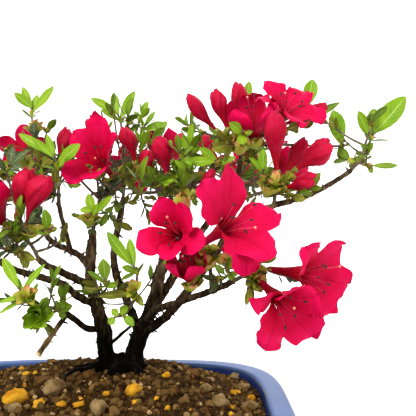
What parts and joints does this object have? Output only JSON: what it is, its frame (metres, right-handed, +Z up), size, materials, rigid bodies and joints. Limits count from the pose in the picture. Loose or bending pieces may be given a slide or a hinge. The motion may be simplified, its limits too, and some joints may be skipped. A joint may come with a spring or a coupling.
{
  "type": "azalea bonsai",
  "caption": "Azalea bonsai in a rounded rectangular glazed pot: a forked trunk with spreading boughs that carry pink blossom, buds and small leaves.",
  "frame": {"origin": "middle of the pot's flat underside", "axes": "+Z up; +X along the pot's longer side, to the right seen from the front; +Y to the back"},
  "size_m": [0.2768, 0.1992, 0.235],
  "materials": {
    "glaze": "glossy blue glaze, lighter on the lip",
    "soil": "rough brown crumbs and grit",
    "bark": "rough grey-brown bark",
    "blossom": "soft crimson-pink petals",
    "leaf": "soft green leaves"
  },
  "bodies": {
    "root": {"pot": "glaze", "soil": "soil", "trunk": "bark", "left_stem": "bark", "right_stem": "bark", "centre_bough": "bark", "right_back_bough": "bark", "right_bough": "bark", "front_bough": "bark", "right_inner_bough": "bark", "top_right_bough": "bark", "right_arm": "bark", "left_low_bough": "bark", "cut_spur": "bark", "left_bough": "bark", "far_left_bough": "bark", "left_back_bough": "bark", "left_rising_bough": "bark", "crossing_twig": "bark", "front_bloom": "blossom", "low_right_bloom": "blossom", "top_right_bloom": "blossom", "right_bud_cluster": "blossom", "right_tip_leaves": "leaf", "crown_leaves": "leaf", "crown_middle": "leaf", "crown_left_bloom": "leaf", "left_shoots": "leaf", "left_bloom": "leaf", "lower_left_leaves": "leaf", "far_left_bloom": "leaf", "back_left_crown": "leaf", "back_middle_crown": "leaf", "back_right_crown": "leaf", "inner_shoot": "leaf", "left_inner_shoot": "leaf"}
  },
  "joints": []
}
